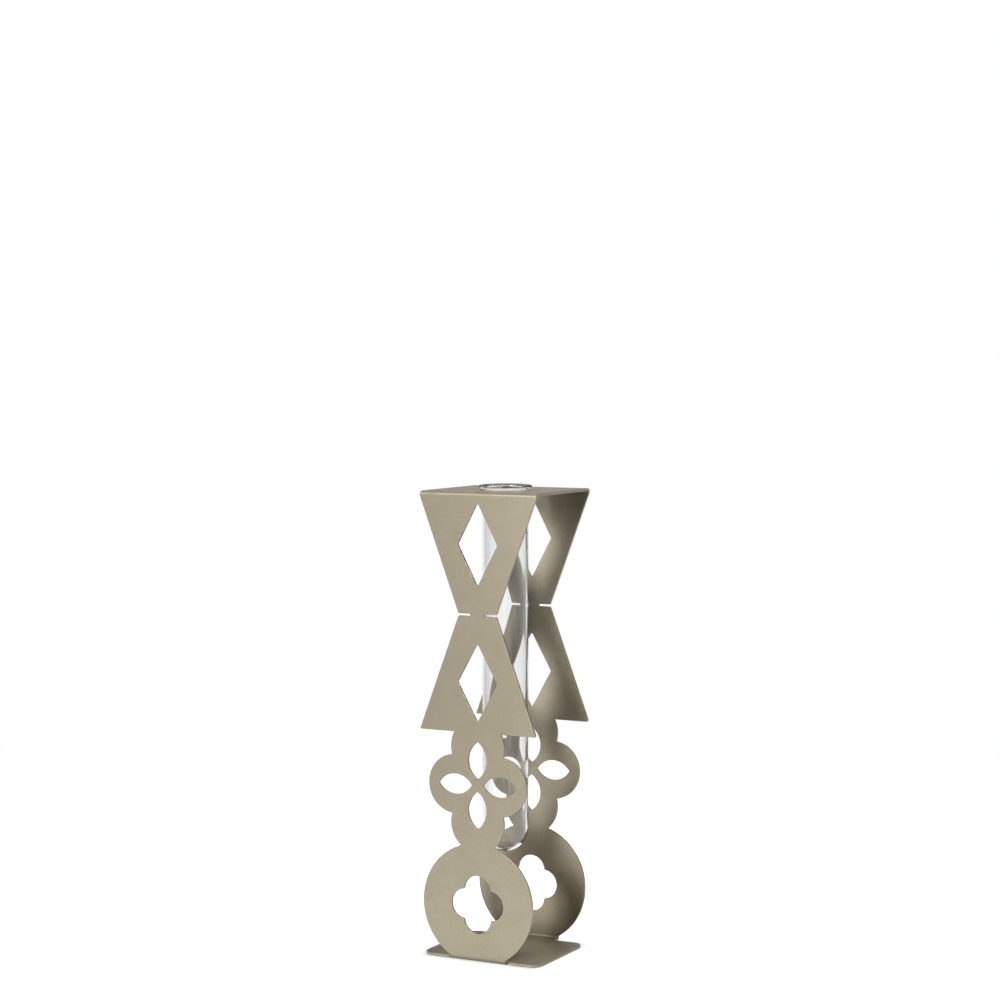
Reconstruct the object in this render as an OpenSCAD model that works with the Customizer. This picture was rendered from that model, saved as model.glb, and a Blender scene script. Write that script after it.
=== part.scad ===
/* [Stand] */
// Width of the sheet strip, across the panels
stand_w = 70; // [66:1:78]
// Depth of the stand, from front face to back face
stand_d = 65; // [58:1:76]
// Height of the top plate above the table
stand_h = 252; // [236:1:276]
// Thickness of the steel sheet
sheet_t = 1.5; // [1:0.1:2]
// Inside radius of every bend
bend_r = 1; // [0.8:0.1:2]
// Radius that the cutting leaves on straight-sided corners
cut_r = 0.8; // [0.3:0.1:1.4]

/* [Upper openwork] */
// Height of the waist between the two straight-sided modules
waist_z = 186.5; // [180:0.5:194]
// Width of the sheet at the waist
waist_w = 22.8; // [18:0.2:28]
// Width of the bridge that is left between the waist slits
bridge_w = 8.6; // [6:0.2:12]
// Height of the waist slits
slit_h = 1.2; // [0.8:0.1:2]
// Width of the diamond cut-outs
diamond_w = 24; // [16:0.5:28]
// Sheet left between a diamond and the module's wide edge
diamond_edge_band = 5.5; // [4:0.5:10]
// Sheet left between a diamond and the waist
diamond_waist_band = 15; // [10:0.5:20]

/* [Lower openwork] */
// How far the round module stays inside the strip's edge
round_inset = 2; // [0.5:0.5:4]
// Width of the four-lobed module
lobed_w = 59; // [54:0.5:64]
// Radius of the four-lobed module's lobes
lobe_r = 16; // [15:0.5:18]
// Distance from its centre to the centres of its upper and lower lobes
lobe_reach = 20.5; // [18:0.5:23]
// Width of the neck where it meets the round module
lower_neck_w = 20.2; // [16:0.2:26]
// Width of the neck where it meets the straight-sided module
upper_neck_w = 28; // [20:0.5:29.5]
// Length of a petal cut-out
petal_l = 20; // [14:0.5:22]
// Width of a petal cut-out
petal_w = 11; // [7:0.5:12]
// Distance from the rosette's centre to a petal's tip
petal_gap = 3.4; // [3:0.1:4.4]
// Radius of one foil of the quatrefoil cut-out
foil_r = 8; // [6:0.5:9]
// Distance from the quatrefoil's centre to a foil's centre
foil_reach = 7.6; // [5:0.2:8.2]

/* [Base] */
// Width of the foot bends that join the panels to the base plate
foot_w = 33.5; // [28:0.5:40]
// Radius of the base plate's corners
corner_r = 6; // [3:0.5:12]
// How far the base plate's free front edge stays behind the front face
front_setback = 2; // [1.6:0.1:2.4]
// Width of the relief notches beside the front foot bend
relief_w = 1.4; // [0.8:0.1:2]
// Length of the relief notches beyond the end of the bend
relief_l = 1.4; // [1:0.1:3]
// Distance from the back face to the welded closing seam
seam_inset = 6.2; // [5.4:0.2:9]
// Width of the fine groove that the closing seam leaves
seam_w = 0.4; // [0.2:0.1:0.6]
// Depth of that groove
seam_depth = 0.4; // [0.2:0.1:0.6]

/* [Glass tube] */
// Outside diameter of the tube
tube_d = 25; // [20:0.5:27]
// Overall length of the tube with its rim
tube_l = 200; // [160:1:220]
// Wall thickness of the glass
tube_wall = 1.2; // [0.9:0.1:1.6]
// How far the rolled rim stands out from the tube
rim_lip = 2; // [1.9:0.1:3]
// Height of the rolled rim
rim_h = 2.4; // [2:0.1:2.8]
// Clearance between the tube and its hole, all round
hole_clearance = 0.4; // [0.2:0.05:0.5]
// Gap between the rim and the top plate
seat_gap = 0.1; // [0.05:0.05:0.3]

/* [Hidden] */
$fn = 96;
corner_steps = 8;
overrun = 1;

coat_colour = [0.66, 0.62, 0.53];
glass_colour = [0.86, 0.91, 0.93, 0.4];

bend_out = bend_r + sheet_t;
round_r = stand_w / 2 - round_inset;
ring_z = bend_out + half_chord(round_r, foot_w);
lobed_z = ring_z + half_chord(round_r, lower_neck_w) + half_chord(lobe_r, lower_neck_w) + lobe_reach;
shoulder_z = lobed_z + lobe_reach + half_chord(lobe_r, upper_neck_w);
straight_top_z = stand_h - bend_out;
panel_y = stand_d / 2 - sheet_t;
tangent_y = stand_d / 2 - bend_out;
seam_y = stand_d / 2 - seam_inset;

tube_r = tube_d / 2;
bore_r = tube_r - tube_wall;
rim_r = rim_h / 2;
rim_base_z = stand_h + seat_gap;
rim_mid_z = rim_base_z + rim_r;
tube_bottom_z = rim_base_z + rim_h - tube_l;
tube_spring_z = tube_bottom_z + tube_r;
rim_outer_centre = tube_r + rim_lip - rim_r;
rim_inner_centre = bore_r + rim_r;

// Distance from a circle's centre to a chord of the given width
function half_chord(radius, width) = sqrt(radius * radius - width * width / 4);

function unit(v) = v / norm(v);

// The same angle within half a turn of zero
function wrapped(angle) = angle - 360 * round(angle / 360);

// Points of one corner, rounded where its radius is above zero
function corner_arc(before, corner, after, radius) =
    radius == 0 ? [corner] :
    let (
        u = unit(before - corner),
        v = unit(after - corner),
        half = acos(u * v) / 2,
        centre = corner + unit(u + v) * radius / sin(half),
        from = corner + u * radius / tan(half) - centre,
        to = corner + v * radius / tan(half) - centre,
        start = atan2(from.y, from.x),
        sweep = wrapped(atan2(to.y, to.x) - start)
    )
    [for (i = [0 : corner_steps])
        centre + radius * [cos(start + sweep * i / corner_steps), sin(start + sweep * i / corner_steps)]];

// A closed outline whose corners take the radii in the second list
function rounded(points, radii) =
    let (n = len(points))
    [for (i = [0 : n - 1])
        each corner_arc(points[(i + n - 1) % n], points[i], points[(i + 1) % n], radii[i])];

// Straight-sided module above the waist, open to the top bend
module upper_module() {
    wide = stand_w / 2;
    narrow = waist_w / 2;
    low_z = waist_z + slit_h / 2;
    polygon(rounded(
        [[-wide, straight_top_z], [wide, straight_top_z], [narrow, low_z], [-narrow, low_z]],
        [0, 0, cut_r, cut_r]
    ));
}

// Straight-sided module below the waist, with its flat shoulders
module lower_module() {
    wide = stand_w / 2;
    narrow = waist_w / 2;
    high_z = waist_z - slit_h / 2;
    polygon(rounded(
        [[-narrow, high_z], [narrow, high_z], [wide, shoulder_z], [-wide, shoulder_z]],
        [cut_r, cut_r, cut_r, cut_r]
    ));
}

// The bridge overlaps both modules by one slit height
module waist_bridge() {
    translate([-bridge_w / 2, waist_z - 3 * slit_h / 2])
        square([bridge_w, 3 * slit_h]);
}

// Diamond cut-out between two heights
module diamond(from_z, to_z) {
    mid_z = (from_z + to_z) / 2;
    polygon(rounded(
        [[0, to_z], [diamond_w / 2, mid_z], [0, from_z], [-diamond_w / 2, mid_z]],
        [cut_r, cut_r, cut_r, cut_r]
    ));
}

// One petal: the lens where two circles meet, its long axis along x
module petal() {
    arc_r = (petal_l * petal_l + petal_w * petal_w) / (4 * petal_w);
    shift = arc_r - petal_w / 2;
    intersection() {
        translate([0, shift]) circle(r = arc_r);
        translate([0, -shift]) circle(r = arc_r);
    }
}

module rosette() {
    for (turn = [0 : 90 : 270])
        rotate(turn)
            translate([petal_gap + petal_l / 2, 0])
                petal();
}

// Four-lobed module, filled in the middle
module lobed_disc() {
    side_x = lobed_w / 2 - lobe_r;
    translate([0, lobed_z]) {
        circle(r = lobe_r);
        for (side = [-1, 1]) {
            translate([side * side_x, 0]) circle(r = lobe_r);
            translate([0, side * lobe_reach]) circle(r = lobe_r);
        }
    }
}

module quatrefoil() {
    circle(r = foil_reach);
    for (turn = [0 : 90 : 270])
        rotate(turn)
            translate([foil_reach, 0])
                circle(r = foil_r);
}

// Round module, cut flat where the foot bend begins
module ring_disc() {
    difference() {
        translate([0, ring_z]) circle(r = round_r);
        translate([-stand_w / 2, -stand_w]) square([stand_w, stand_w + bend_out]);
    }
}

// Outline of one panel, with x across and y upwards
module panel_outline() {
    difference() {
        union() {
            upper_module();
            waist_bridge();
            lower_module();
            lobed_disc();
            ring_disc();
        }
        diamond(waist_z + diamond_waist_band, stand_h - diamond_edge_band);
        diamond(shoulder_z + diamond_edge_band, waist_z - diamond_waist_band);
        translate([0, lobed_z]) rosette();
        translate([0, ring_z]) quatrefoil();
    }
}

// Front panel; the back one is its mirror image
module panel() {
    translate([0, -panel_y, 0])
        rotate([90, 0, 0])
            linear_extrude(sheet_t)
                panel_outline();
}

// Quarter bend along x that turns from facing down to facing forward
module bend(width) {
    translate([width / 2, 0, 0])
        rotate([0, -90, 0])
            rotate([0, 0, 180])
                rotate_extrude(angle = 90)
                    translate([bend_r, 0]) square([sheet_t, width]);
}

// Bend between the top plate and the front panel
module top_bend() {
    translate([0, -tangent_y, straight_top_z])
        mirror([0, 0, 1])
            bend(stand_w);
}

// Bend between the front panel and the base
module foot_bend() {
    translate([0, -tangent_y, bend_out])
        bend(foot_w);
}

module top_plate() {
    difference() {
        translate([-stand_w / 2, -tangent_y, stand_h - sheet_t])
            cube([stand_w, 2 * tangent_y, sheet_t]);
        translate([0, 0, stand_h - sheet_t - overrun])
            cylinder(r = tube_r + hole_clearance, h = sheet_t + 2 * overrun);
    }
}

// Base plate outline with round corners, open in front for the foot bend
module base_outline() {
    side_x = stand_w / 2 - corner_r;
    front_y = front_setback - stand_d / 2;
    length = seam_y - front_y;
    notch_w = foot_w + 2 * relief_w;
    difference() {
        union() {
            translate([-side_x, front_y]) square([2 * side_x, length]);
            translate([-stand_w / 2, front_y + corner_r]) square([stand_w, length - 2 * corner_r]);
            for (x = [-side_x, side_x], y = [front_y + corner_r, seam_y - corner_r])
                translate([x, y]) circle(r = corner_r);
        }
        translate([-notch_w / 2, -stand_d / 2]) square([notch_w, bend_out + relief_l]);
    }
    translate([-foot_w / 2, -tangent_y]) square([foot_w, 2 * relief_l]);
}

module base_plate() {
    linear_extrude(sheet_t) base_outline();
}

// Flat of the back panel's foot, which meets the base plate at the seam
module closing_flange() {
    translate([-foot_w / 2, seam_y, 0])
        cube([foot_w, tangent_y - seam_y, sheet_t]);
}

// Groove just behind the base plate's back edge, across the closing flange
module seam_groove() {
    translate([-foot_w / 2 - overrun, seam_y, sheet_t - seam_depth])
        cube([foot_w + 2 * overrun, seam_w, seam_depth + overrun]);
}

// One strip of sheet, bent four times and welded shut at the back of the base
module folded_stand() {
    color(coat_colour)
        difference() {
            union() {
                for (side = [0, 1])
                    mirror([0, side, 0]) {
                        panel();
                        top_bend();
                        foot_bend();
                    }
                top_plate();
                base_plate();
                closing_flange();
            }
            seam_groove();
        }
}

// Round bead of the rim, about the tube's axis
module rim_bead(centre_r) {
    translate([0, 0, rim_mid_z])
        rotate_extrude()
            translate([centre_r, 0]) circle(r = rim_r);
}

// Test tube with a round bottom and a rolled rim that rests on the top plate
module glass_tube() {
    color(glass_colour)
        difference() {
            union() {
                translate([0, 0, tube_spring_z])
                    cylinder(r = tube_r, h = rim_mid_z - tube_spring_z);
                translate([0, 0, tube_spring_z])
                    sphere(r = tube_r);
                rim_bead(rim_outer_centre);
                rim_bead(rim_inner_centre);
                translate([0, 0, rim_base_z])
                    cylinder(r = rim_outer_centre, h = rim_h);
            }
            translate([0, 0, tube_spring_z])
                cylinder(r = bore_r, h = rim_mid_z - tube_spring_z);
            translate([0, 0, tube_spring_z])
                sphere(r = bore_r);
            rim_throat();
        }
}

// Opening through the rim that leaves its inner edge round
module rim_throat() {
    translate([0, 0, rim_mid_z])
        difference() {
            cylinder(r = rim_inner_centre, h = rim_h);
            rotate_extrude()
                translate([rim_inner_centre, 0]) circle(r = rim_r);
        }
}

folded_stand();
glass_tube();
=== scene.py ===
"""Looks of a bud vase: a folded, powder-coated sheet stand and the glass tube that hangs in it.

The pieces' sizes are in millimetres and become metres where a mesh is made. Finishes and the
studio are in metres. X runs across the panels, Y from the front panel to the back one, and Z
up from the table.
"""

import logging
from dataclasses import dataclass, field
from enum import Enum
from typing import Sequence

import bpy
import numpy as np
from mathutils.geometry import delaunay_2d_cdt
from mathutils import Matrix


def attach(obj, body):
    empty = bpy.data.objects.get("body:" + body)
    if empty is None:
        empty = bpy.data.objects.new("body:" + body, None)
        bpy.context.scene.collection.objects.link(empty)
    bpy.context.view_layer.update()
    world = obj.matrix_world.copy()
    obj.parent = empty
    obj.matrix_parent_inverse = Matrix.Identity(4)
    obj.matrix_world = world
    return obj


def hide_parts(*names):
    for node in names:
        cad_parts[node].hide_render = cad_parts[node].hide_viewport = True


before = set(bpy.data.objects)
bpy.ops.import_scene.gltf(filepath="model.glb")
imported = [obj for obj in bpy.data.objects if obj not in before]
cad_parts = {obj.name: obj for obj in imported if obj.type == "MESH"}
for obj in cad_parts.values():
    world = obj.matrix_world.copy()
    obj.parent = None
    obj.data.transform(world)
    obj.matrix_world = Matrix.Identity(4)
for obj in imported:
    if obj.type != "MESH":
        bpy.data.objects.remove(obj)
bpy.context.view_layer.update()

METRES = 0.001
CHUNKS = 40  # parts that a large table of distances is worked out in, to save memory
QUARTER = np.pi / 2
WHITE = (1.0, 1.0, 1.0, 1.0)
Colour = tuple[float, float, float]
Range = tuple[float, float]

log = logging.getLogger("bud_vase")


class PanelSide(Enum):
    """Which of the stand's two upright panels a cut-out belongs to."""

    FRONT = "front"
    BACK = "back"


def unit(vectors: np.ndarray) -> np.ndarray:
    """Rows of the array, each divided by its own length."""
    return vectors / np.maximum(np.linalg.norm(vectors, axis=-1, keepdims=True), 1e-12)


def half_chord(radius: float, width: float) -> float:
    """Distance from a circle's centre to a chord of the given width."""
    return float(np.sqrt(radius**2 - width**2 / 4))


@dataclass
class Surface:
    """A triangle surface that is being put together, with one normal for each point.

    Points are in millimetres. Values are named numbers, one for each point.
    """

    points: np.ndarray
    normals: np.ndarray
    triangles: np.ndarray
    values: dict[str, np.ndarray] = field(default_factory=dict)

    @staticmethod
    def joined(parts: Sequence["Surface"]) -> "Surface":
        """Puts several surfaces into one.

        Args:
            parts: surfaces that all have the same named values.

        Returns:
            One surface, whose triangles point into the stacked points.
        """
        starts = np.cumsum([0] + [len(p.points) for p in parts[:-1]])
        return Surface(
            np.concatenate([p.points for p in parts]),
            np.concatenate([p.normals for p in parts]),
            np.concatenate([p.triangles + a for p, a in zip(parts, starts)]),
            {k: np.concatenate([p.values[k] for p in parts]) for k in parts[0].values},
        )

    def welded(self, tolerance: float = 1e-4) -> "Surface":
        """Merges points that share a place, so that seams and poles are closed.

        Args:
            tolerance: size in millimetres of the cells that count as one place.

        Returns:
            The surface with shared points and no triangle of zero width.
        """
        cells = np.round(self.points / tolerance).astype(np.int64)
        _, first, number = np.unique(cells, axis=0, return_index=True, return_inverse=True)
        number = number.reshape(-1)
        normals = np.zeros((len(first), 3))
        np.add.at(normals, number, self.normals)
        tris = number[self.triangles]
        real = (tris != np.roll(tris, 1, axis=1)).all(axis=1)
        return Surface(
            self.points[first],
            unit(normals),
            tris[real],
            {k: v[first] for k, v in self.values.items()},
        )

    def facing_out(self) -> "Surface":
        """Turns round each triangle whose own normal opposes its points' normals.

        Returns:
            The same surface with all its triangles facing outwards.
        """
        a, b, c = (self.points[self.triangles[:, i]] for i in range(3))
        own = np.cross(b - a, c - a)
        wanted = self.normals[self.triangles].sum(axis=1)
        wrong = np.einsum("ij,ij->i", own, wanted) < 0
        tris = self.triangles.copy()
        tris[wrong] = tris[wrong][:, ::-1]
        return Surface(self.points, self.normals, tris, self.values)

    def made_object(self, name: str, material: bpy.types.Material) -> bpy.types.Object:
        """Makes the surface an object at the origin, in metres.

        Args:
            name: the piece's name.
            material: its finish.

        Returns:
            The linked object, smooth, with the surface's own normals.
        """
        mesh = bpy.data.meshes.new(name)
        mesh.from_pydata(self.points * METRES, [], self.triangles)
        mesh.polygons.foreach_set("use_smooth", np.ones(len(self.triangles), bool))
        for key, value in self.values.items():
            layer = mesh.attributes.new(key, "FLOAT", "POINT")
            layer.data.foreach_set("value", value.astype(np.float32))
        mesh.update()
        mesh.normals_split_custom_set_from_vertices(self.normals)
        mesh.materials.append(material)
        made = bpy.data.objects.new(name, mesh)
        bpy.context.scene.collection.objects.link(made)
        return made


def grid_triangles(rows: int, columns: int, closed: bool) -> np.ndarray:
    """Triangles of a grid of points that are numbered row by row.

    Args:
        rows: how many rows of points there are.
        columns: how many points there are in a row.
        closed: whether the last column joins the first one.

    Returns:
        Two triangles for each cell of the grid.
    """
    cells = columns if closed else columns - 1
    r, c = np.meshgrid(np.arange(rows - 1), np.arange(cells), indexing="ij")
    n = (c + 1) % columns
    a, b = r * columns + c, r * columns + n
    d, e = (r + 1) * columns + c, (r + 1) * columns + n
    return np.concatenate([np.stack([a, b, e], -1), np.stack([a, e, d], -1)]).reshape(-1, 3)


# Outlines of the flat sheet. A drawn outline is an array of (x, s, r): x across the strip,
# s along it and r the radius that the corner at that point gets.

CORNER_ROOM = 0.46  # share of the shorter side that a corner may take
STRAIGHT = np.radians(88)  # half angle above which a corner counts as none


def corners(*points: tuple[float, float, float]) -> np.ndarray:
    """Corner points (x, s, radius) as an array."""
    return np.array(points, float).reshape(-1, 3)


def arc(
    centre: tuple[float, float],
    radius: float,
    start: float,
    end: float,
    tip: float,
    step: float = 1.1,
) -> np.ndarray:
    """Points of a circle's arc: its centre plus the radius times (cosine, sine) of the angle.

    Args:
        centre: its centre (x, s).
        radius: its radius.
        start: first angle in radians.
        end: last angle.
        tip: radius of the small corners where the arc meets its neighbours.
        step: length of its chords.

    Returns:
        Points (x, s, r), where r is the tip radius at both ends and zero between them.
    """
    chords = int(np.ceil(abs(end - start) * radius / step))
    angle = np.linspace(start, end, max(3, chords + 1))
    drawn = np.zeros((len(angle), 3))
    drawn[:, 0] = centre[0] + radius * np.cos(angle)
    drawn[:, 1] = centre[1] + radius * np.sin(angle)
    drawn[[0, -1], 2] = tip
    return drawn


def chained(*parts: np.ndarray) -> np.ndarray:
    """Arcs and corners as one outline, without a point that repeats the one before it."""
    drawn = np.concatenate(parts)
    gap = np.linalg.norm(np.diff(drawn[:, :2], axis=0), axis=1)
    return drawn[np.concatenate([[True], gap > 1e-6])]


def softened(drawn: np.ndarray, closed: bool, count: int = 8) -> np.ndarray:
    """Rounds the corners of an outline.

    A corner between directions u and v, half the angle between them being h, gets the arc
    whose centre is the corner plus radius / sin(h) along the middle of u and v, and which
    touches both sides radius / tan(h) from the corner.

    Args:
        drawn: outline points (x, s, radius).
        closed: whether its last point joins its first one.
        count: how many points a rounded corner has.

    Returns:
        Points (x, s).
    """
    place, radius = drawn[:, :2], drawn[:, 2].copy()
    if not closed:
        radius[[0, -1]] = 0
    before, after = np.roll(place, 1, 0) - place, np.roll(place, -1, 0) - place
    shorter = np.minimum(np.linalg.norm(before, axis=1), np.linalg.norm(after, axis=1))
    room = CORNER_ROOM * shorter
    u, v = unit(before), unit(after)
    half = np.arccos(np.clip((u * v).sum(1), -1, 1)) / 2
    radius[half > STRAIGHT] = 0
    radius = np.minimum(radius, room * np.tan(half))
    centre = place + unit(u + v) * (radius / np.sin(half))[:, None]
    reach = (radius / np.tan(half))[:, None]
    first, last = place + u * reach - centre, place + v * reach - centre
    start = np.arctan2(first[:, 1], first[:, 0])
    sweep = np.arctan2(last[:, 1], last[:, 0]) - start
    sweep -= 2 * np.pi * np.round(sweep / (2 * np.pi))
    angle = start[:, None] + sweep[:, None] * np.linspace(0, 1, count)
    way = np.stack([np.cos(angle), np.sin(angle)], -1)
    round_points = centre[:, None] + radius[:, None, None] * way
    sharp = radius < 1e-9
    round_points[sharp] = place[sharp][:, None]
    keep = np.ones((len(drawn), count), bool)
    keep[sharp, 1:] = False
    return round_points[keep]


def divided(loop: np.ndarray, closed: bool, step: float, levels: np.ndarray) -> np.ndarray:
    """Adds points to an outline: at most a step apart, and where an edge along s crosses a level.

    Args:
        loop: points (x, s).
        closed: whether its last point joins its first one.
        step: longest edge that is left.
        levels: values of s at which the sheet needs a row of points.

    Returns:
        Points (x, s) of the same outline.
    """
    start = loop if closed else loop[:-1]
    edge = (np.roll(loop, -1, 0) - loop)[: len(start)]
    length = np.linalg.norm(edge, axis=1)
    parts = np.maximum(1, np.ceil(length / step))
    even = np.arange(int(parts.max()))[None] / parts[:, None]
    even[even >= 1] = np.nan
    rise = np.where(np.abs(edge[:, 1]) < 1e-9, np.nan, edge[:, 1])
    cross = (levels[None] - start[:, 1:2]) / rise[:, None]
    margin = 0.02 / np.maximum(length, 0.05)[:, None]
    slanted = (np.abs(edge[:, 0]) > 1e-6)[:, None]
    cross[(cross < margin) | (cross > 1 - margin) | slanted] = np.nan
    near = np.abs(even[:, :, None] - cross[:, None, :]) < 3 * margin[:, :, None]
    even[(near & np.isfinite(cross)[:, None, :]).any(axis=2) & (even > 0)] = np.nan
    share = np.sort(np.concatenate([even, cross], axis=1), axis=1)
    points = start[:, None] + share[:, :, None] * edge[:, None]
    points = points[np.isfinite(share)]
    return points if closed else np.concatenate([points, loop[-1:]])


def clockwise(drawn: np.ndarray) -> np.ndarray:
    """A closed outline, turned round if need be, so that it runs clockwise as a hole does."""
    x, s = drawn[:, 0], drawn[:, 1]
    area = (x * np.roll(s, -1) - np.roll(x, -1) * s).sum()
    return drawn[::-1] if area > 0 else drawn


@dataclass(frozen=True)
class FoldPath:
    """The way that the sheet strip takes round the stand, from mid base to mid base.

    s is the distance along the strip from the middle of the base plate, first forwards.
    """

    depth: float = 65.0
    height: float = 252.0
    thickness: float = 1.5
    bend_radius: float = 1.0
    bend_rows: int = 9
    ear_x: float = 17.4
    ear_overlap: float = 1.5

    @property
    def outer_radius(self) -> float:
        """Outside radius of a bend."""
        return self.bend_radius + self.thickness

    @property
    def stations(self) -> np.ndarray:
        """Values of s where flats and bends begin and end."""
        flat = self.depth / 2 - self.outer_radius
        bend = (self.bend_radius + self.thickness / 2) * QUARTER
        upright = self.height - 2 * self.outer_radius
        return np.cumsum([0, flat, bend, upright, bend, 2 * flat, bend, upright, bend, flat])

    @property
    def length(self) -> float:
        """Length of the whole strip."""
        return float(self.stations[-1])

    @property
    def levels(self) -> np.ndarray:
        """Rows of points that the four bends need."""
        at = self.stations
        rows = [np.linspace(at[i], at[i + 1], self.bend_rows) for i in (1, 3, 5, 7)]
        return np.concatenate(rows)

    def on_panel(self, drawn: np.ndarray, side: PanelSide) -> np.ndarray:
        """Moves an outline from heights on a panel to places along the strip.

        Args:
            drawn: points whose second number is the height above the table.
            side: the panel that it goes on.

        Returns:
            The points, whose second number is now s.
        """
        moved = drawn.copy()
        moved[:, 1] += self.stations[2] - self.outer_radius
        if side is PanelSide.BACK:
            moved[:, 1] = self.length - moved[:, 1]
            moved = moved[::-1]
        return moved

    def folded(self, sheet: np.ndarray, flat_normals: np.ndarray) -> tuple[np.ndarray, np.ndarray]:
        """Bends points of the flat sheet round the path.

        The bend's centre C and the turn T of the outside normal are linear in s between the
        stations. A point that lies n inside the outer face is then C plus (outer radius - n)
        times (-sin T, -cos T) in (y, z). A normal keeps its part across the strip, and its
        part along the strip is divided by how far the sheet is stretched there. The base
        plate's ears, outside the front foot bend, stay flat.

        Args:
            sheet: points (x, s, n).
            flat_normals: their normals in the same three directions.

        Returns:
            Points (x, y, z) and unit normals.
        """
        x, s, n = sheet.T
        at, flat = self.stations, self.depth / 2 - self.outer_radius
        low, high = self.outer_radius, self.height - self.outer_radius
        turn = np.interp(s, at, np.array([0, 0, 1, 1, 2, 2, 3, 3, 4, 4]) * QUARTER)
        centre_y = np.interp(s, at, flat * np.array([0, -1, -1, -1, -1, 1, 1, 1, 1, 0]))
        raised = np.array([0, 0, 0, 1, 1, 1, 1, 0, 0, 0], bool)
        centre_z = np.interp(s, at, np.where(raised, high, low))
        ear = (np.abs(x) > self.ear_x) & (s < at[1] + self.ear_overlap)
        turn, centre_y = np.where(ear, 0, turn), np.where(ear, -s, centre_y)
        sine, cosine = np.sin(turn), np.cos(turn)
        radius = self.outer_radius - n
        points = np.stack([x, centre_y - radius * sine, centre_z - radius * cosine], -1)
        bent = np.abs(turn / QUARTER - np.round(turn / QUARTER)) > 1e-9
        bend_length = at[2] - at[1]
        stretch = np.where(bent, radius * QUARTER / bend_length, 1)
        across, along, inward = flat_normals.T
        along = along / stretch
        turned_y = -cosine * along + sine * inward
        turned_z = sine * along + cosine * inward
        return points, unit(np.stack([across, turned_y, turned_z], -1))


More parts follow.
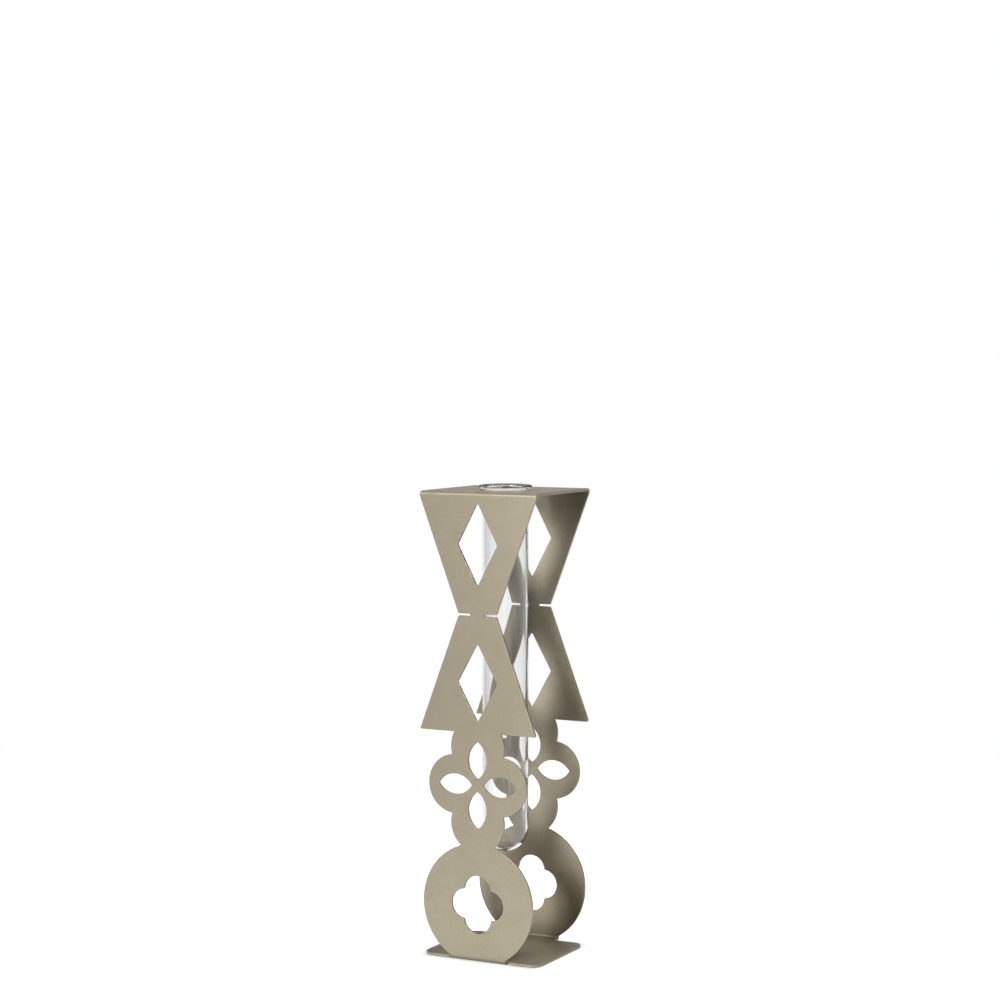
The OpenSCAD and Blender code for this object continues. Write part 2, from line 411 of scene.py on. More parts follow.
@dataclass(frozen=True)
class PanelPattern:
    """Outline and cut-outs of one upright panel, drawn with x across and the height up."""

    width: float = 70.0
    foot_width: float = 33.5
    foot_top: float = 2.5
    straight_top: float = 249.5
    cut_radius: float = 0.8
    tip_radius: float = 0.35
    waist_height: float = 186.5
    waist_width: float = 22.8
    bridge_width: float = 8.6
    slit_height: float = 1.2
    diamond_width: float = 24.0
    diamond_edge_band: float = 5.5
    diamond_waist_band: float = 15.0
    plate_height: float = 252.0
    round_radius: float = 33.0
    lobed_width: float = 59.0
    lobe_radius: float = 16.0
    lobe_reach: float = 20.5
    lower_neck: float = 20.2
    upper_neck: float = 28.0
    petal_length: float = 20.0
    petal_width: float = 11.0
    petal_gap: float = 3.4
    foil_radius: float = 8.0
    foil_reach: float = 7.6

    @property
    def round_centre(self) -> float:
        """Height of the round module's centre."""
        return self.foot_top + half_chord(self.round_radius, self.foot_width)

    @property
    def lobed_centre(self) -> float:
        """Height of the four-lobed module's centre."""
        below = half_chord(self.round_radius, self.lower_neck)
        above = half_chord(self.lobe_radius, self.lower_neck)
        return self.round_centre + (below + above) + self.lobe_reach

    @property
    def shoulder(self) -> float:
        """Height of the flat shoulders of the lower straight-sided module."""
        return self.lobed_centre + self.lobe_reach + half_chord(self.lobe_radius, self.upper_neck)

    def right_side(self) -> np.ndarray:
        """The panel's right edge, from the foot bend up to the top bend.

        Returns:
            Points (x, height, corner radius): the round module's arc, the three lobes that
            show on this side, the shoulder, and the two slanted sides with the slit between.
        """
        tip, cut, lobe = self.tip_radius, self.cut_radius, self.lobe_radius
        ring, lobed = self.round_centre, self.lobed_centre
        foot_angle = np.arctan2(self.foot_top - ring, self.foot_width / 2)
        neck_rise = half_chord(self.round_radius, self.lower_neck)
        neck_angle = np.arctan2(neck_rise, self.lower_neck / 2)
        side_x = self.lobed_width / 2 - lobe
        apart = np.hypot(side_x, self.lobe_reach)
        reach = np.sqrt(lobe**2 - apart**2 / 4)
        middle = np.array([side_x, -self.lobe_reach]) / 2
        meet = middle + reach * np.array([self.lobe_reach, -side_x]) / apart
        from_low = np.arctan2(meet[1] + self.lobe_reach, meet[0])
        from_side = np.arctan2(meet[1], meet[0] - side_x)
        low_start = -np.arctan2(half_chord(lobe, self.lower_neck), self.lower_neck / 2)
        high_end = np.arctan2(half_chord(lobe, self.upper_neck), self.upper_neck / 2)
        wide, narrow, bridge = self.width / 2, self.waist_width / 2, self.bridge_width / 2
        under = self.waist_height - self.slit_height / 2
        over = self.waist_height + self.slit_height / 2
        return chained(
            arc((0, ring), self.round_radius, foot_angle, neck_angle, tip),
            arc((0, lobed - self.lobe_reach), lobe, low_start, from_low, tip),
            arc((side_x, lobed), lobe, from_side, -from_side, tip),
            arc((0, lobed + self.lobe_reach), lobe, -from_low, high_end, tip),
            corners(
                (wide, self.shoulder, cut),
                (narrow, under, cut),
                (bridge, under, tip),
                (bridge, over, tip),
                (narrow, over, cut),
                (wide, self.straight_top, cut),
            ),
        )

    def diamond(self, low: float, high: float) -> np.ndarray:
        """A diamond cut-out between two heights."""
        mid, half, cut = (low + high) / 2, self.diamond_width / 2, self.cut_radius
        return corners((0, high, cut), (half, mid, cut), (0, low, cut), (-half, mid, cut))

    def petal(self, quarter_turns: int) -> np.ndarray:
        """One petal of the rosette: the lens between two equal arcs, turned about the centre.

        Args:
            quarter_turns: how often it is turned by a right angle.

        Returns:
            Points (x, height, corner radius).
        """
        radius = (self.petal_length**2 + self.petal_width**2) / (4 * self.petal_width)
        shift = radius - self.petal_width / 2
        half = np.arcsin(self.petal_length / 2 / radius)
        middle = self.petal_gap + self.petal_length / 2
        lens = chained(
            arc((middle, -shift), radius, QUARTER - half, QUARTER + half, self.tip_radius),
            arc((middle, shift), radius, -QUARTER - half, -QUARTER + half, self.tip_radius),
        )[:-1]
        cosine, sine = np.cos(quarter_turns * QUARTER), np.sin(quarter_turns * QUARTER)
        turned = lens.copy()
        turned[:, 0] = cosine * lens[:, 0] - sine * lens[:, 1]
        turned[:, 1] = sine * lens[:, 0] + cosine * lens[:, 1] + self.lobed_centre
        return turned

    def quatrefoil(self) -> np.ndarray:
        """The quatrefoil of the round module: four arcs that meet on the diagonals."""
        reach, radius = self.foil_reach, self.foil_radius
        meet = (reach + np.sqrt(2 * radius**2 - reach**2)) / 2
        half = np.arctan2(meet, meet - reach)
        ways = ((1, 0), (0, 1), (-1, 0), (0, -1))
        foils = [
            arc(
                (reach * x, self.round_centre + reach * y),
                radius,
                turn * QUARTER - half,
                turn * QUARTER + half,
                self.tip_radius,
            )
            for turn, (x, y) in enumerate(ways)
        ]
        return chained(*foils)[:-1]

    def cut_outs(self) -> list[np.ndarray]:
        """All the cut-outs of a panel, as closed outlines."""
        above = self.waist_height + self.diamond_waist_band
        below = self.waist_height - self.diamond_waist_band
        return [
            self.diamond(above, self.plate_height - self.diamond_edge_band),
            self.diamond(self.shoulder + self.diamond_edge_band, below),
            *[self.petal(turns) for turns in range(4)],
            self.quatrefoil(),
        ]


@dataclass(frozen=True)
class FoldedStand:
    """The stand: one strip of sheet, cut with openwork, bent four times and closed by a seam."""

    path: FoldPath = FoldPath()
    panel: PanelPattern = PanelPattern()
    base_corner: float = 6.0
    front_setback: float = 2.0
    relief_width: float = 1.4
    relief_length: float = 1.4
    relief_corner: float = 0.5
    seam_inset: float = 6.2
    seam_width: float = 0.5
    seam_depth: float = 0.5
    tube_hole: float = 12.9
    edge_softness: float = 0.18
    edge_steps: int = 5
    groove_rows: int = 7
    mesh_step: float = 2.4
    mesh_columns: int = 13
    mesh_clearance: float = 0.8
    edge_step: float = 1.3

    @property
    def seam_s(self) -> float:
        """Where the base plate's back edge meets the closing flange, along the strip."""
        return self.path.length - (self.path.depth / 2 - self.seam_inset)

    @property
    def levels(self) -> np.ndarray:
        """Rows of points that the bends and the seam's groove need."""
        groove = self.seam_s - self.seam_width * np.linspace(0, 1, self.groove_rows)
        return np.sort(np.concatenate([self.path.levels, groove]))

    def right_edge(self) -> np.ndarray:
        """The strip's right edge from mid base to mid base, as an open outline (x, s)."""
        wide, foot = self.panel.width / 2, self.panel.foot_width / 2
        tip = self.panel.tip_radius
        front = self.path.depth / 2 - self.front_setback
        notch = self.path.stations[1] - self.relief_length
        notch_x = foot + self.relief_width
        side = self.panel.right_side()
        drawn = chained(
            corners((wide, 0, 0), (wide, front, self.base_corner), (notch_x, front, tip)),
            corners((notch_x, notch, self.relief_corner), (foot, notch, self.relief_corner)),
            self.path.on_panel(side, PanelSide.FRONT),
            self.path.on_panel(side, PanelSide.BACK),
            corners((foot, self.seam_s, tip), (wide, self.seam_s, self.base_corner)),
            corners((wide, self.path.length, 0)),
        )
        return divided(softened(drawn, False), False, self.edge_step, self.levels)

    def holes(self) -> list[np.ndarray]:
        """All the cut-outs of the strip, as clockwise outlines (x, s)."""
        cut_outs = self.panel.cut_outs()
        drawn = [self.path.on_panel(cut, side) for side in PanelSide for cut in cut_outs]
        drawn.append(arc((0, self.path.length / 2), self.tube_hole, 0, 4 * QUARTER, 0)[:-1])
        loops = [clockwise(softened(cut, True)) for cut in drawn]
        return [divided(loop, True, self.edge_step, self.levels) for loop in loops]

    @staticmethod
    def outward(loop: np.ndarray, closed: bool) -> tuple[np.ndarray, np.ndarray]:
        """Normals of an outline in the sheet's plane, which point away from the sheet.

        The sheet lies to the left of the outline, so an edge's normal is its direction
        turned clockwise by a right angle, and a point's is the middle of its two edges'.

        Args:
            loop: points (x, s).
            closed: whether its last point joins its first one.

        Returns:
            Unit normals, and the mitred vectors that move a point one unit outwards.
        """
        ahead = unit(np.roll(loop, -1, 0) - loop)
        behind = np.roll(ahead, 1, 0)
        if not closed:
            ahead[-1], behind[0] = behind[-1], ahead[0]
        ahead, behind = (np.stack([e[:, 1], -e[:, 0]], -1) for e in (ahead, behind))
        mitre = (ahead + behind) / (1 + (ahead * behind).sum(1))[:, None]
        return unit(ahead + behind), mitre

    def rim(self, loop: np.ndarray, closed: bool) -> tuple[Surface, np.ndarray]:
        """The sheet's cut edge along one outline, with both its arrises rounded.

        The profile is a quarter circle of the edge softness, the straight cut and another
        quarter circle, carried along the outline: point = outline - inset times the mitred
        outward vector, at the depth n of the profile.

        Args:
            loop: points (x, s) of the outline.
            closed: whether it closes on itself.

        Returns:
            The surface in sheet directions (x, s, n), and the outline of the flat faces.
        """
        soft, thick = self.edge_softness, self.path.thickness
        angle = np.linspace(0, QUARTER, self.edge_steps)
        sine, cosine = np.sin(angle), np.cos(angle)
        inset = np.concatenate([soft * (1 - sine), soft * (1 - cosine)])
        depth = np.concatenate([soft * (1 - cosine), thick - soft * (1 - sine)])
        out = np.concatenate([sine, cosine])
        inward = np.concatenate([-cosine, sine])
        normal, mitre = self.outward(loop, closed)
        rows, count = len(inset), len(loop)
        flat = loop[None] - inset[:, None, None] * mitre[None]
        size = (rows, count, 1)
        points = np.concatenate([flat, np.broadcast_to(depth[:, None, None], size)], -1)
        sideways = out[:, None, None] * normal[None]
        normals = np.concatenate([sideways, np.broadcast_to(inward[:, None, None], size)], -1)
        edge = np.broadcast_to(np.minimum(out, 1)[:, None], (rows, count))
        surface = Surface(
            points.reshape(-1, 3),
            normals.reshape(-1, 3),
            grid_triangles(rows, count, closed),
            {"rim": edge.reshape(-1).copy()},
        )
        return surface, flat[0]

    def lattice(self, edges: np.ndarray) -> tuple[np.ndarray, np.ndarray]:
        """Points inside the sheet, on rows that follow the bends and the seam.

        Args:
            edges: all points of the flat faces' outlines.

        Returns:
            The lattice's points (x, s) that keep clear of the outlines, and its columns.
        """
        columns = np.arange(-self.mesh_columns, self.mesh_columns + 1) * self.mesh_step
        needed = np.unique(np.round(np.concatenate([self.levels, self.path.stations]), 6))
        parts = np.maximum(1, np.ceil(np.diff(needed) / self.mesh_step)).astype(int)
        spans = zip(needed, needed[1:], parts)
        rows = np.concatenate([np.linspace(a, b, n, endpoint=False) for a, b, n in spans])
        x, s = np.meshgrid(columns, rows[1:], indexing="ij")
        points = np.stack([x.ravel(), s.ravel()], -1)
        clear = [
            ((p[:, None] - edges[None]) ** 2).sum(-1).min(axis=1) > self.mesh_clearance**2
            for p in np.array_split(points.astype(np.float32), CHUNKS)
        ]
        return points[np.concatenate(clear)], columns

    @staticmethod
    def inside(points: np.ndarray, loops: Sequence[np.ndarray]) -> np.ndarray:
        """Whether each point lies in the sheet: a line from it crosses the outlines oddly often.

        Args:
            points: points (x, s).
            loops: closed outlines.

        Returns:
            One truth value for each point.
        """
        odd = np.zeros(len(points), bool)
        for loop in loops:
            a, b = loop, np.roll(loop, -1, 0)
            rise = b[:, 1] - a[:, 1]
            rise = np.where(np.abs(rise) < 1e-12, 1e-12, rise)
            chunks = []
            for p in np.array_split(points, CHUNKS):
                between = (a[None, :, 1] > p[:, 1:2]) != (b[None, :, 1] > p[:, 1:2])
                share = (p[:, 1:2] - a[None, :, 1]) / rise[None]
                at = a[None, :, 0] + share * (b - a)[None, :, 0]
                chunks.append((between & (at > p[:, :1])).sum(axis=1) % 2 == 1)
            odd ^= np.concatenate(chunks)
        return odd

    def faces(
        self, right: np.ndarray, holes: Sequence[np.ndarray]
    ) -> tuple[np.ndarray, np.ndarray]:
        """Triangulates the flat face of the strip between its outlines.

        Args:
            right: the right edge's outline (x, s) on the face.
            holes: the cut-outs' outlines on the face.

        Returns:
            Points (x, s) and triangles.
        """
        left = right[::-1] * (-1, 1)
        inner, columns = self.lattice(np.concatenate([right, left, *holes]))
        ends = np.stack([columns, np.zeros_like(columns)], -1)
        outline = np.concatenate([right, ends[::-1] + (0, self.path.length), left, ends])
        loops = [outline, *holes]
        inner = inner[self.inside(inner, loops)]
        starts = np.cumsum([0] + [len(loop) for loop in loops[:-1]])
        rings = [np.arange(len(loop)) + start for loop, start in zip(loops, starts)]
        sides = np.concatenate([np.stack([ring, np.roll(ring, -1)], -1) for ring in rings])
        given = np.concatenate([*loops, inner])
        points, _, tris, *_ = delaunay_2d_cdt(given.tolist(), sides.tolist(), [], 0, 1e-7)
        points, tris = np.array(points), np.array(tris)
        return points, tris[self.inside(points[tris].mean(axis=1), loops)]

    def groove(self, sheet: Surface) -> Surface:
        """Presses the closing seam into the inner face.

        The sheet's thickness is less by the depth times the squared cosine of the distance
        from the groove's middle, which falls to nothing half a groove's width away, and all
        depths n shrink in that proportion. The normals follow from its slope.

        Args:
            sheet: surface in sheet directions (x, s, n).

        Returns:
            The grooved surface.
        """
        _, s, n = sheet.points.T
        half = self.seam_width / 2
        across = (s - (self.seam_s - half)) / half
        within = np.abs(across) < 1
        sunk = np.where(within, self.seam_depth * np.cos(across * QUARTER) ** 2, 0)
        steepness = -self.seam_depth * np.sin(across * 2 * QUARTER) * QUARTER / half
        slope = np.where(within, steepness, 0)
        thick = self.path.thickness
        points, normals = sheet.points.copy(), sheet.normals.copy()
        points[:, 2] = n * (1 - sunk / thick)
        normals[:, 2] /= 1 - sunk / thick
        normals[:, 1] += normals[:, 2] * n * slope / thick
        return Surface(points, unit(normals), sheet.triangles, sheet.values)

    def surface(self) -> Surface:
        """The whole stand: both faces and all cut edges of the strip, folded and closed."""
        right = self.right_edge()
        left = right[::-1] * (-1, 1)
        edges = [self.rim(right, False), self.rim(left, False)]
        edges += [self.rim(hole, True) for hole in self.holes()]
        plane, tris = self.faces(edges[0][1], [outline for _, outline in edges[2:]])
        sides = []
        for depth, inward in ((0.0, -1.0), (self.path.thickness, 1.0)):
            points = np.column_stack([plane, np.full(len(plane), depth)])
            normals = np.zeros_like(points)
            normals[:, 2] = inward
            sides.append(Surface(points, normals, tris, {"rim": np.zeros(len(plane))}))
        flat = self.groove(Surface.joined([*sides, *[rim for rim, _ in edges]]))
        points, normals = self.path.folded(flat.points, flat.normals)
        return Surface(points, normals, flat.triangles, flat.values).welded().facing_out()

    def build(self, coat: "PowderCoat") -> bpy.types.Object:
        """Builds the stand in its coat and puts it in the place of its plain solid.

        Args:
            coat: the stand's finish.

        Returns:
            The finished piece.
        """
        stand = self.surface().made_object("coated_stand", coat.material())
        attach(stand, "stand")
        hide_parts("folded_stand")
        log.info("coated_stand: %d triangles", len(stand.data.polygons))
        return stand


@dataclass(frozen=True)
class GlassTube:
    """The glass tube: a round bottom, a straight wall and a rolled rim, all one turned wall."""

    radius: float = 12.5
    wall: float = 1.2
    length: float = 200.0
    rim_base: float = 252.1
    rim_height: float = 2.4
    rim_lip: float = 2.0
    neck_radius: float = 0.4
    around: int = 144
    bottom_rows: int = 40
    neck_rows: int = 8
    lip_rows: int = 28
    mouth_rows: int = 14
    wall_rows: int = 25

    def profile(self) -> tuple[np.ndarray, np.ndarray]:
        """The wall's closed profile, from the outer bottom over the rim to the inner bottom.

        It is a chain of circular arcs: each point is a centre plus a radius times (cosine,
        sine), and its normal is that direction, turned round where the arc is hollow.

        Returns:
            Points (r, z) and their outward normals (r, z).
        """
        bead = self.rim_height / 2
        bore = self.radius - self.wall
        spring = self.rim_base + self.rim_height - self.length + self.radius
        mid = self.rim_base + bead
        neck, fold = self.radius + self.neck_radius, self.rim_base - self.neck_radius
        lip = self.radius + self.rim_lip - bead
        parts = (
            ((0, spring), self.radius, -QUARTER, 0, self.bottom_rows, 1),
            ((neck, fold), self.neck_radius, 2 * QUARTER, QUARTER, self.neck_rows, -1),
            ((lip, mid), bead, -QUARTER, QUARTER, self.lip_rows, 1),
            ((bore + bead, mid), bead, QUARTER, 2 * QUARTER, self.mouth_rows, 1),
            ((0, spring), bore, 0, -QUARTER, self.bottom_rows, -1),
        )
        points, normals = [], []
        for centre, radius, start, end, count, sign in parts:
            angle = np.linspace(start, end, count)
            way = np.stack([np.cos(angle), np.sin(angle)], -1)
            points.append(np.array(centre) + radius * way)
            normals.append(sign * way)
        rows = np.linspace(0, 1, self.wall_rows)[1:-1, None]
        for at, out in ((4, -1.0), (1, 1.0)):
            points.insert(at, points[at - 1][-1] * (1 - rows) + points[at][0] * rows)
            normals.insert(at, np.broadcast_to((out, 0.0), (len(rows), 2)))
        return np.concatenate(points), np.concatenate(normals)

    def surface(self) -> Surface:
        """The profile turned about the tube's axis: (r cos a, r sin a, z)."""
        profile, normals = self.profile()
        angle = np.arange(self.around) * 2 * np.pi / self.around
        way = np.stack([np.cos(angle), np.sin(angle)], -1)

        def turned(values: np.ndarray) -> np.ndarray:
            """Rows (r, z) carried round the axis, as rows (x, y, z)."""
            flat = values[:, None, :1] * way[None]
            up = np.broadcast_to(values[:, None, 1:], flat.shape[:2] + (1,))
            return np.concatenate([flat, up], -1).reshape(-1, 3)

        triangles = grid_triangles(len(profile), self.around, True)
        return Surface(turned(profile), unit(turned(normals)), triangles).welded().facing_out()

    def build(self, glass: "ClearGlass") -> bpy.types.Object:
        """Builds the tube in glass and puts it in the place of its plain solid.

        Args:
            glass: the tube's finish.

        Returns:
            The finished piece.
        """
        tube = self.surface().made_object("blown_tube", glass.material())
        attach(tube, "tube")
        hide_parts("glass_tube")
        log.info("blown_tube: %d triangles", len(tube.data.polygons))
        return tube


class NodeDesk:
    """Lays out the shader nodes of one material or world."""

    def __init__(self, owner: bpy.types.Material | bpy.types.World) -> None:
        """Starts with an empty tree.

        Args:
            owner: the material or world whose nodes these are.
        """
        owner.use_nodes = True
        self.tree = owner.node_tree
        self.tree.nodes.clear()

    def add(self, kind: str, inputs: dict | None = None, **settings: object) -> bpy.types.Node:
        """Adds a node.

        Args:
            kind: the node's type, without the ShaderNode in front.
            inputs: what its sockets get: a number, a colour, or the output that feeds them.
            settings: the node's own settings.

        Returns:
            The node.
        """
        node = self.tree.nodes.new("ShaderNode" + kind)
        for key, value in settings.items():
            setattr(node, key, value)
        for key, value in (inputs or {}).items():
            if isinstance(value, bpy.types.NodeSocket):
                self.tree.links.new(value, node.inputs[key])
            else:
                node.inputs[key].default_value = value
        return node

    def math(self, operation: str, a: object, b: object = 0.0) -> bpy.types.NodeSocket:
        """The output of a Math node with the given operation."""
        return self.add("Math", {0: a, 1: b}, operation=operation).outputs[0]

    def mixed(self, factor: object, a: object, b: object) -> bpy.types.NodeSocket:
        """The output of a colour Mix node: a where the factor is 0, b where it is 1."""
        return self.add("Mix", {0: factor, 6: a, 7: b}, data_type="RGBA").outputs[2]

    def ramp(
        self, value: object, low: float, high: float, to_low: object, to_high: object
    ) -> bpy.types.NodeSocket:
        """A value mapped from one range to another, and held at its ends."""
        inputs = {0: value, 1: low, 2: high, 3: to_low, 4: to_high}
        return self.add("MapRange", inputs).outputs[0]

    def noise(self, place: object, scale: float, detail: float) -> bpy.types.NodeSocket:
        """The value of a noise texture at a place."""
        return self.add("TexNoise", {"Vector": place, "Scale": scale, "Detail": detail}).outputs[0]

    def end(self, **shaders: bpy.types.NodeSocket) -> None:
        """Joins the finished shaders to the output node."""
        self.add("OutputMaterial", shaders)


def opaque(colour: Colour) -> tuple[float, float, float, float]:
    """The colour with a full alpha."""
    return (*colour, 1.0)


@dataclass(frozen=True)
class PowderCoat:
    """Warm grey powder coat with a fine grain, faint clouds and a semi-matt, pearly sheen.

    The grain and the clouds darken the colour, and the cut edges carry a painted highlight: their
    cut faces are mixed towards a lighter colour.
    """

    colour: Colour = (0.442, 0.392, 0.2875)
    dark_grain: Colour = (0.365, 0.3215, 0.231)
    # painted highlight: the lighter colour that the coat's cut faces are mixed towards
    rim_colour: Colour = (0.46, 0.411, 0.311)
    pearl: float = 0.45
    roughness: float = 0.34
    shine: float = 0.5
    roughness_swing: float = 0.06
    swing_range: Range = (0.3, 0.7)
    grain_scale: float = 1500.0
    grain_detail: float = 3.0
    grain_range: Range = (0.38, 0.55)
    grain_share: float = 0.6
    grain_height: float = 0.00003
    grain_strength: float = 0.5
    cloud_scale: float = 90.0
    cloud_detail: float = 2.0
    cloud_range: Range = (0.35, 0.65)
    cloud_share: float = 0.25
    rim_power: float = 3.0
    edge_highlight_share: float = 0.6

    def material(self) -> bpy.types.Material:
        """The coat's material."""
        material = bpy.data.materials.new("warm_grey_powder_coat")
        desk = NodeDesk(material)
        place = desk.add("TexCoord").outputs["Object"]
        grain = desk.noise(place, self.grain_scale, self.grain_detail)
        cloud = desk.noise(place, self.cloud_scale, self.cloud_detail)
        speck = desk.ramp(grain, *self.grain_range, self.grain_share, 0.0)
        drift = desk.ramp(cloud, *self.cloud_range, 0.0, self.cloud_share)
        shade = desk.math("ADD", speck, drift)
        body = desk.mixed(shade, opaque(self.colour), opaque(self.dark_grain))
        # painted highlight along the cut edges: the rim mask, raised to a power, mixes the coat
        # towards the lighter rim colour
        rim = desk.add("Attribute", attribute_name="rim").outputs["Fac"]
        thin = desk.math("MULTIPLY", desk.math("POWER", rim, self.rim_power), self.edge_highlight_share)
        body = desk.mixed(thin, body, opaque(self.rim_colour))
        most, least = self.roughness + self.roughness_swing, self.roughness - self.roughness_swing
        rough = desk.ramp(grain, *self.swing_range, most, least)
        relief = {"Strength": self.grain_strength, "Distance": self.grain_height, "Height": grain}
        bump = desk.add("Bump", relief)
        coat = desk.add(
            "BsdfPrincipled",
            {
                "Base Color": body,
                "Metallic": self.pearl,
                "Roughness": rough,
                "Specular IOR Level": self.shine,
                "Normal": bump.outputs[0],
            },
        )
        desk.end(Surface=coat.outputs[0])
        return material


@dataclass(frozen=True)
class ClearGlass:
    """Clear glass that lets lamp light through, with painted shade where the wall is seen edge on.

    The solid glass of the rolled rim is darker than the thin wall.
    """

    colour: Colour = (0.96, 0.965, 0.965)
    rim_colour: Colour = (0.8, 0.8, 0.76)
    rim_from: Range = (0.2516, 0.2522)
    # painted shade: the grey that the glass is mixed towards where its wall is seen edge on
    painted_edge_shade: Colour = (0.52, 0.52, 0.54)
    edge_power: float = 1.15
    bend: float = 1.47
    lamp_share: Colour = (0.93, 0.93, 0.93)

    def material(self) -> bpy.types.Material:
        """The glass's material."""
        material = bpy.data.materials.new("clear_tube_glass")
        desk = NodeDesk(material)
        facing = desk.add("LayerWeight", {"Blend": 0.5}).outputs["Facing"]
        turned = desk.math("POWER", facing, self.edge_power)
        height = desk.add("SeparateXYZ", {0: desk.add("TexCoord").outputs["Object"]}).outputs["Z"]
        rim = desk.ramp(height, *self.rim_from, 0.0, 1.0)
        flat = desk.mixed(rim, opaque(self.colour), opaque(self.rim_colour))
        # painted shade: greys the glass by how edge on its wall is seen
        tint = desk.mixed(turned, flat, opaque(self.painted_edge_shade))
        glass = desk.add(
            "BsdfPrincipled",
            {"Base Color": tint, "Roughness": 0.0, "IOR": self.bend, "Transmission Weight": 1.0},
        )
        through = desk.add("BsdfTransparent", {"Color": opaque(self.lamp_share)})
        lamp = desk.add("LightPath").outputs["Is Shadow Ray"]
        both = desk.add("MixShader", {0: lamp, 1: glass.outputs[0], 2: through.outputs[0]})
        desk.end(Surface=both.outputs[0])
        return material


class LampEffect(Enum):
    """What a lamp adds to: matt light and gloss alike, or only one. The pair is (matt, gloss)."""

    BOTH = (True, True)
    GLOSS = (False, True)
    MATT = (True, False)


@dataclass(frozen=True)
class SoftBox:
    """A flat lamp panel that faces a point on the vase and isn't seen through glass.

    The azimuth is counted in degrees from the front towards the right, the elevation from
    the table. The other sizes are in metres and watts.
    """

    name: str
    azimuth: float
    elevation: float
    distance: float
    width: float
    height: float
    power: float
    effect: LampEffect = LampEffect.BOTH
    colour: Colour = (1.0, 1.0, 1.0)
    target: tuple[float, float, float] = (0.0, 0.0, 0.13)

    def place(self) -> bpy.types.Object:
        """Makes the lamp and turns it to its target.

        Returns:
            The lamp.
        """
        azimuth, elevation = np.radians(self.azimuth), np.radians(self.elevation)
        level = np.cos(elevation)
        away = np.array([np.sin(azimuth) * level, -np.cos(azimuth) * level, np.sin(elevation)])
        data = bpy.data.lights.new(self.name, "AREA")
        data.shape = "RECTANGLE"
        data.size, data.size_y = self.width, self.height
        data.energy, data.color = self.power, self.colour
        lamp = bpy.data.objects.new(self.name, data)
        lamp.location = np.array(self.target) + away * self.distance
        lamp.rotation_euler = (QUARTER - elevation, 0.0, azimuth)
        lamp.visible_diffuse, lamp.visible_glossy = self.effect.value
        lamp.visible_transmission = False
        bpy.context.scene.collection.objects.link(lamp)
        return lamp


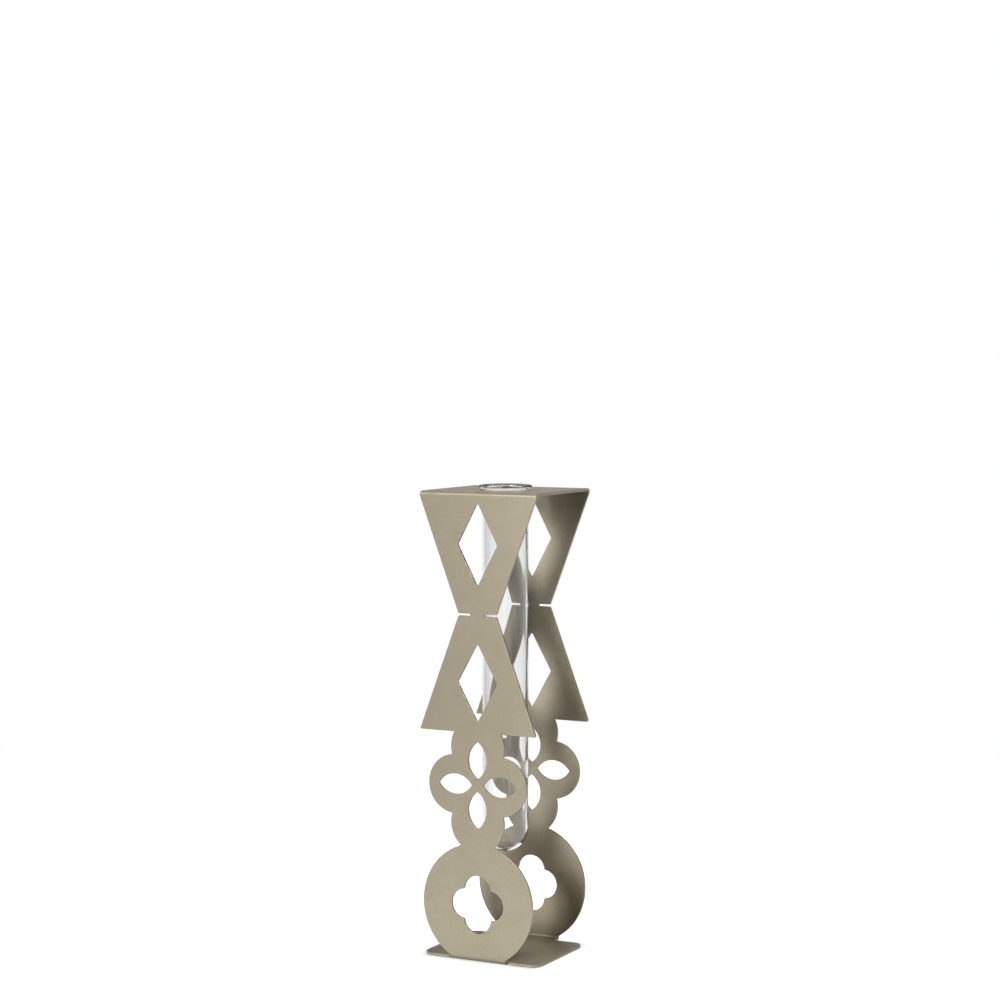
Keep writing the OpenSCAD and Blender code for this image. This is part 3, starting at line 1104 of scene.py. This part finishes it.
@dataclass(frozen=True)
class Studio:
    """Plain pale floor, white surroundings, soft lamps and the camera at the photograph's angle.

    Lengths are in metres. The floor and the surroundings differ in brightness between what is
    seen directly, what is seen in gloss and what lights matt surfaces. These levels, and the
    lamps, were fitted by trial to the photograph's tones, so this is no plain studio.
    """

    camera_place: tuple[float, float, float] = (0.618576, -1.181906, 0.324744)
    camera_yaw: float = 27.755
    camera_pitch: float = 3.3715
    focal_length: float = 88.906
    floor_size: float = 12.0
    floor_drop: float = 0.0002
    floor_colour: Colour = (0.86, 0.86, 0.86)
    floor_bounce: Colour = (0.08, 0.08, 0.08)
    floor_lift: float = 0.52
    lift_distances: Range = (0.15, 0.8)
    gloss_near: float = 0.05
    gloss_front: float = 0.04
    gloss_distances: Range = (0.2, 0.8)
    gloss_behind: Range = (0.1, 0.6)
    fill: float = 0.012
    backdrop_gloss: float = 0.4
    ceiling: float = 0.1
    ceiling_from: Range = (0.15, 0.45)
    front_gloss: float = 0.12
    backdrop_from: Range = (-0.3, 0.2)
    right_gloss: float = 0.25
    right_from: Range = (0.0, 0.4)
    lamps: tuple[SoftBox, ...] = (
        SoftBox(
            "key_softbox",
            azimuth=-2.5, elevation=8, distance=1.5, width=0.3, height=0.5, power=20.2,
        ),
        SoftBox(
            "bend_glint",
            azimuth=-20, elevation=46, distance=2.0, width=0.8, height=0.6, power=12,
            effect=LampEffect.GLOSS,
        ),
        SoftBox(
            "top_softbox",
            azimuth=180, elevation=90, distance=1.6, width=0.12, height=0.12, power=20,
            effect=LampEffect.MATT,
        ),
        SoftBox(
            "right_rim",
            azimuth=115, elevation=30, distance=2.6, width=0.6, height=0.8, power=10,
        ),
        SoftBox(
            "rear_right",
            azimuth=165, elevation=16, distance=2.2, width=0.6, height=0.5, power=30,
            effect=LampEffect.MATT,
        ),
        SoftBox(
            "rear_left",
            azimuth=250, elevation=25, distance=2.2, width=0.5, height=0.5, power=4,
        ),
    )

    def camera(self) -> bpy.types.Object:
        """The camera, which looks level with the vase and a little down."""
        data = bpy.data.cameras.new("photo_camera")
        data.lens, data.sensor_width = self.focal_length, 36.0
        data.clip_start, data.clip_end = 0.05, 50.0
        camera = bpy.data.objects.new("photo_camera", data)
        camera.location = self.camera_place
        tilt = QUARTER - np.radians(self.camera_pitch)
        camera.rotation_euler = (tilt, 0.0, np.radians(self.camera_yaw))
        bpy.context.scene.collection.objects.link(camera)
        bpy.context.scene.camera = camera
        return camera

    @staticmethod
    def shown(desk: NodeDesk) -> tuple[bpy.types.NodeSocket, bpy.types.NodeSocket]:
        """Tells rays that show the surroundings from those that only light the vase.

        Args:
            desk: the material or world that asks.

        Returns:
            1 for what the camera sees directly or through glass, and 1 for what it sees in
            gloss. Both are 0 once a ray has been scattered by a matt surface.
        """
        path = desk.add("LightPath").outputs
        direct = desk.math("LESS_THAN", path["Diffuse Depth"], 0.5)
        through = desk.math("MAXIMUM", path["Is Camera Ray"], path["Is Transmission Ray"])
        seen = desk.math("MULTIPLY", through, direct)
        return seen, desk.math("MULTIPLY", path["Is Glossy Ray"], direct)

    def surroundings(self) -> None:
        """White surroundings where they are seen, a weak fill for matt surfaces.

        In gloss they are dimmer than white: at their brightest behind the vase and at its
        left, up to a low height, and darker towards the ceiling, the front and the right.
        """
        world = bpy.data.worlds.new("white_surroundings")
        desk = NodeDesk(world)
        seen, gloss = self.shown(desk)
        way = desk.add("TexCoord").outputs["Generated"]
        parts = desk.add("SeparateXYZ", {0: way}).outputs
        up = desk.ramp(parts["Z"], *self.ceiling_from, self.backdrop_gloss, self.ceiling)
        back = desk.ramp(parts["Y"], *self.backdrop_from, self.front_gloss, 1.0)
        right = desk.ramp(parts["X"], *self.right_from, 1.0, self.right_gloss)
        level = desk.math("MULTIPLY", up, desk.math("MULTIPLY", back, right))
        gloss = desk.math("MULTIPLY", gloss, level)
        strength = desk.math("MAXIMUM", desk.math("MAXIMUM", seen, gloss), self.fill)
        light = desk.add("Background", {"Color": WHITE, "Strength": strength})
        desk.add("OutputWorld", {"Surface": light.outputs[0]})
        bpy.context.scene.world = world

    def floor(self) -> bpy.types.Object:
        """The pale floor, lifted to white where it is seen, with the vase's shadow near its foot.

        The lift is a glow that only seen and glossy rays meet: part of white near the vase, where
        the lamps and the shadow show, and white further off, where the floor's own colour fades
        to black. In gloss it is dim near the vase and in front of it, and white far behind it.
        Matt surfaces get only the floor's low bounce.

        Returns:
            The floor.
        """
        material = bpy.data.materials.new("pale_floor")
        desk = NodeDesk(material)
        seen, gloss = self.shown(desk)
        place = desk.add("TexCoord").outputs["Object"]
        distance = desk.add("VectorMath", {0: place}, operation="LENGTH").outputs["Value"]
        away = desk.ramp(distance, *self.lift_distances, 0.0, 1.0)
        seen = desk.math("MULTIPLY", seen, desk.ramp(away, 0.0, 1.0, self.floor_lift, 1.0))
        side = desk.add("SeparateXYZ", {0: place}).outputs["Y"]
        far = desk.ramp(side, *self.gloss_behind, self.gloss_front, 1.0)
        level = desk.ramp(distance, *self.gloss_distances, self.gloss_near, far)
        gloss = desk.math("MULTIPLY", gloss, level)
        lift = desk.math("MAXIMUM", seen, gloss)
        direct = desk.math("LESS_THAN", desk.add("LightPath").outputs["Diffuse Depth"], 0.5)
        shade = desk.mixed(away, opaque(self.floor_colour), opaque((0.0, 0.0, 0.0)))
        shade = desk.mixed(direct, opaque(self.floor_bounce), shade)
        matt = desk.add("BsdfDiffuse", {"Color": shade})
        glow = desk.add("Emission", {"Strength": lift})
        both = desk.add("AddShader", {0: matt.outputs[0], 1: glow.outputs[0]})
        desk.end(Surface=both.outputs[0])
        half = self.floor_size / 2
        square = np.array([[-half, -half], [half, -half], [half, half], [-half, half]])
        points = np.column_stack([square, np.full(len(square), -self.floor_drop)])
        mesh = bpy.data.meshes.new("floor")
        mesh.from_pydata(points, [], [[0, 1, 2, 3]])
        mesh.materials.append(material)
        floor = bpy.data.objects.new("floor", mesh)
        bpy.context.scene.collection.objects.link(floor)
        return floor

    def set_up(self) -> None:
        """Builds the studio and sets how colours are shown."""
        self.camera()
        self.surroundings()
        self.floor()
        for lamp in self.lamps:
            lamp.place()
        bpy.context.scene.view_settings.view_transform = "Standard"
        log.info("studio: %d lamps", len(self.lamps))


def main() -> None:
    """Builds the vase piece by piece, then the studio round it."""
    logging.basicConfig(level=logging.INFO, format="%(name)s: %(message)s")
    FoldedStand().build(PowderCoat())
    GlassTube().build(ClearGlass())
    Studio().set_up()


if __name__ == "__main__":
    main()
